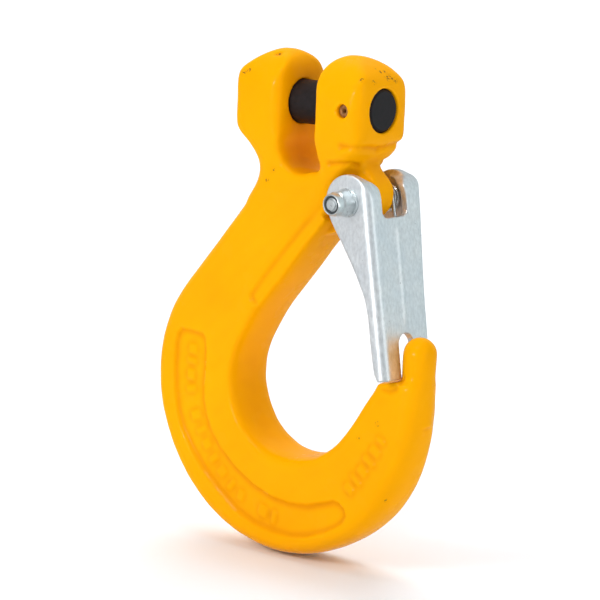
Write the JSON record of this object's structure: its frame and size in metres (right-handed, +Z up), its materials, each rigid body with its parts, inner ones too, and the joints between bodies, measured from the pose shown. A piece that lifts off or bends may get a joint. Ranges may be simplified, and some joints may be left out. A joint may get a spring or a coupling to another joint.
{
  "type": "safety chain hook",
  "caption": "Forged clevis sling hook with a cross pin for the chain link and a sprung folded-steel safety latch closing the throat.",
  "frame": {"origin": "middle of the load pin, between the two ears", "axes": "+X along the load pin towards the latch side, +Z up the chain, +Y through the thickness; the locking nut of the latch pivot faces -Y"},
  "size_m": [0.1023, 0.0344, 0.1523],
  "materials": {
    "yellow_powder_coat": "glossy powder coat",
    "black_pin_steel": "black oxide, satin",
    "spring_steel": "dark, slightly rusted",
    "zinc_plate": "bright zinc plated sheet",
    "zinc_fastener": "bright zinc plated",
    "nylon": "matte",
    "spring_wire": "bright drawn wire"
  },
  "bodies": {
    "hook": {"hook_body": "yellow_powder_coat", "load_pin": "black_pin_steel", "load_pin_retainer": "spring_steel", "latch_spring": "spring_wire"},
    "latch": {"latch_plate": "zinc_plate", "latch_bolt": "zinc_fastener", "latch_washer": "zinc_fastener", "latch_nut": "zinc_fastener", "latch_nut_insert": "nylon"}
  },
  "joints": [
    {"name": "latch_hinge", "type": "hinge", "parent": "hook", "child": "latch", "pos_m": [0.0211, 0, -0.0261], "axis": [0, 1, 0], "range_deg": [0, 58], "stiffness_Nm_per_rad": 0.15, "springref_deg": -40.11, "deforming": ["latch_spring"]}
  ]
}
